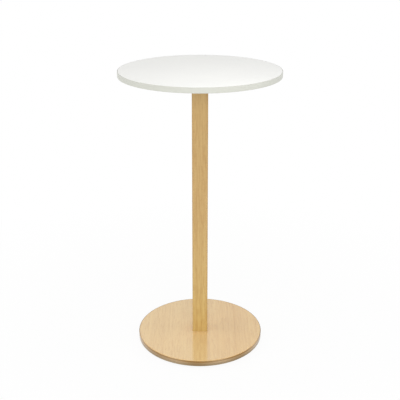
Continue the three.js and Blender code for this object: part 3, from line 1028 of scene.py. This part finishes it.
def make_tie(zinc):
    """Rod through the column, its coupling nut in the column's foot, and the nut under the top plate."""
    low, high = extent("tie_rod")
    middle = (low + high) / 2
    half = half_rod(high[2] - middle[2])
    halves = [skin(grid + middle) for grid in (half, turned_over(half))]
    add_piece("column_tie", halves, zinc, "tie_rod")
    for name, node in (("column_tie_coupling", "coupling_nut"), ("head_plate_nut", "top_plate_nut")):
        low, high = extent(node)
        nut = hex_nut(high[0] - low[0], BOLT_DIAMETER / 2 + BORE_GAP, low[2], high[2])
        add_piece(name, [skin(nut)], zinc, node)


def make_column():
    """Four mitred boards: the front one, with its screw hole, carried up and turned by quarters."""
    low, high = extent("column_board_front")
    half_width = -low[1]
    board = carried_up(column_outline(half_width), low[2], high[2])
    front_screw = "column_screw_4"
    screw_end = extent(front_screw)[0][2] - COLUMN_SCREW_ROOM
    radius = SCREW_DIAMETER / 2 + BORE_GAP
    wall = np.array([(0, screw_end), (radius, screw_end), (radius, high[2])])
    surfaces = drilled(board, [], holes_at([spot(front_screw)], wall))
    for quarter, side in enumerate(("front", "right", "back", "left")):
        angle = quarter * QUARTER_TURN
        cos, sin = round(math.cos(angle)), round(math.sin(angle))
        turned = np.array([[cos, sin, 0], [-sin, cos, 0], [0, 0, 1]])
        faces = [(points @ turned, grid) for points, grid in surfaces]
        finish = column_timber(side, quarter, half_width)
        add_piece(f"column_{side}", faces, finish, f"column_board_{side}")


def make_base():
    """Veneered face with the mortise that takes the column's tenon, and the edge band round it."""
    low, high = extent("base_veneer")
    tenon_low, tenon_high = extent("column_foot_plug")
    mortise = tenon_high[0] - tenon_low[0] + 2 * BORE_GAP
    face = mortised_disc(high[0], mortise, low[2], high[2])
    add_piece("base_face", [skin(face)], base_veneer(high[0]), "base_veneer")
    band_low, band_high = extent("base_edge_band")
    band = edge_band(high[0] + GLUE_LINE, band_high[0], band_low[2], band_high[2])
    edging = base_edging(band_high[0], band_low[2], band_high[2])
    add_piece("base_edging", [skin(band)], edging, "base_edge_band")


def make_ballast(steel, zinc):
    """Round plate under the base, drilled for its screws, the bolt and the glides, with screws and bolt."""
    low, high = extent("base_plate")
    rim = round_plate_rim(high[0], low[2], high[2])
    seat = low[2] + SEAT_GAP
    screw_wall = flush_hole(HEAD_DIAMETER, SCREW_DIAMETER, seat, HEAD_HEIGHT, low[2], high[2])
    bolt_wall = flush_hole(BOLT_HEAD_DIAMETER, BOLT_DIAMETER, seat, BOLT_HEAD_HEIGHT, low[2], high[2])
    glide_wall = straight_hole(GLIDE_THREAD, low[2], high[2])
    screw_holes = holes_at(spots("base_plate_screw", BALLAST_SCREWS), screw_wall)
    bolt_hole = holes_at([spot("base_bolt")], bolt_wall)
    glide_holes = holes_at(spots("glide_stud", GLIDES), glide_wall)
    plate = drilled(rim, screw_holes + bolt_hole + glide_holes)
    add_piece("ballast_plate", plate, steel, "base_plate")
    add_screws("ballast_fixing", "base_plate_screw", BALLAST_SCREWS, flush_screw_head(), zinc)
    low, high = extent("base_bolt")
    bolt = socket_bolt(high[2] - low[2]) + np.array([0, 0, low[2]])
    add_piece("column_bolt", [skin(bolt)], zinc, "base_bolt")


def make_glides(zinc):
    """Four levelling glides, each a stud and the pad that holds its foot."""
    nylon = black_nylon()
    underside = extent("base_plate")[0][2]
    for number in range(1, GLIDES + 1):
        glide = f"glide_{number}"
        pad_node, stud_node = f"glide_pad_{number}", f"glide_stud_{number}"
        place = np.append(spot(stud_node), 0)
        pad_low, pad_high = extent(pad_node)
        pad = glide_pad((pad_high[0] - pad_low[0]) / 2, pad_high[2]) + place
        add_piece(glide + "_sole", [skin(pad)], nylon, pad_node, glide + "_pad")
        low, high = extent(stud_node)
        flats = high[0] - low[0]
        stud = glide_stud(flats, low[2], pad_high[2] + SEAT_GAP, underside - SEAT_GAP, high[2]) + place
        add_piece(glide + "_screw", [skin(stud)], zinc, stud_node, glide + "_stud")


def dress_solids(finish, *nodes):
    """Gives a finish to solids that stay as they are."""
    for node in nodes:
        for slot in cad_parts[node].material_slots:
            slot.material = finish


# Studio

def add_floor():
    """A wide pale floor, mostly white as seen, which keeps some of the table's shadow."""
    lines = np.linspace(-FLOOR_REACH, FLOOR_REACH, 3)
    across, back = np.meshgrid(lines, lines)
    grid = np.stack([across, back, np.full_like(across, -FLOOR_DROP)], -1)
    finish, wire = new_finish("floor")
    place = own_place(wire)
    speck = even_noise(place, 300.0)
    x, y, _ = axes(place)
    near = from_axis(x, y).share(*SHADOW_FADE)
    paint = wire.node("ShaderNodeBsdfDiffuse", None, {"Color": mixed(speck, tone("f6f6f5"), tone("fafaf9"))})
    white = wire.node("ShaderNodeEmission", None, {"Color": WHITE, "Strength": 1.0})
    whitened = looked_at(wire) * (1 - SHADOW_SHARE * near)
    shader = wire.node("ShaderNodeMixShader", None, {0: whitened, 1: paint, 2: white})
    wire.node("ShaderNodeOutputMaterial", None, {"Surface": shader})
    add_mesh("floor", [skin(grid)], finish)


def light_world():
    """Even white surroundings: plain white as seen and mirrored, and dimmer as light on the table."""
    world = bpy.data.worlds.new("studio")
    world.use_nodes = True
    world.node_tree.nodes.clear()
    wire = Wire(world.node_tree)
    strength = AMBIENT + (1 - AMBIENT) * looked_at(wire)
    backdrop = wire.node("ShaderNodeBackground", None, {"Color": WHITE, "Strength": strength})
    wire.node("ShaderNodeOutputWorld", None, {"Surface": backdrop})
    bpy.context.scene.world = world


def add_lamp(name, place, size, power):
    """A square soft box aimed at the middle of the table."""
    lamp = bpy.data.lights.new(name, "AREA")
    lamp.shape = "SQUARE"
    lamp.size = size
    lamp.energy = power
    made = bpy.data.objects.new(name, lamp)
    made.location = place
    x, y, z = np.array(LAMP_AIM) - np.array(place)
    tilt = math.atan2(math.hypot(x, y), -z)
    heading = math.atan2(-x, y)
    made.rotation_euler = (tilt, 0, heading)
    made.visible_camera = False
    made.visible_glossy = False
    bpy.context.scene.collection.objects.link(made)


def add_camera():
    """The photograph's view: in front of the table, a little above its top, looking down."""
    lens = bpy.data.cameras.new("camera")
    lens.sensor_width = CAMERA_SENSOR
    lens.lens = CAMERA_LENS
    camera = bpy.data.objects.new("camera", lens)
    camera.location = CAMERA_PLACE
    camera.rotation_euler = (QUARTER_TURN - CAMERA_DOWN, 0, 0)
    bpy.context.scene.collection.objects.link(camera)
    bpy.context.scene.camera = camera


black_coat = black_steel()
zinc_plate = zinc_steel()
make_tabletop()
make_top_plate(black_coat, zinc_plate)
make_column()
make_base()
make_ballast(black_coat, zinc_plate)
make_tie(zinc_plate)
make_glides(zinc_plate)
dress_solids(board_core(), "tabletop_core", "base_core")
dress_solids(plug_timber(), "column_head_plug", "column_foot_plug")

add_floor()
light_world()
for lamp_name, (lamp_place, lamp_size, lamp_power) in LAMPS.items():
    add_lamp(lamp_name, lamp_place, lamp_size, lamp_power)
add_camera()
bpy.context.scene.view_settings.view_transform = "Standard"
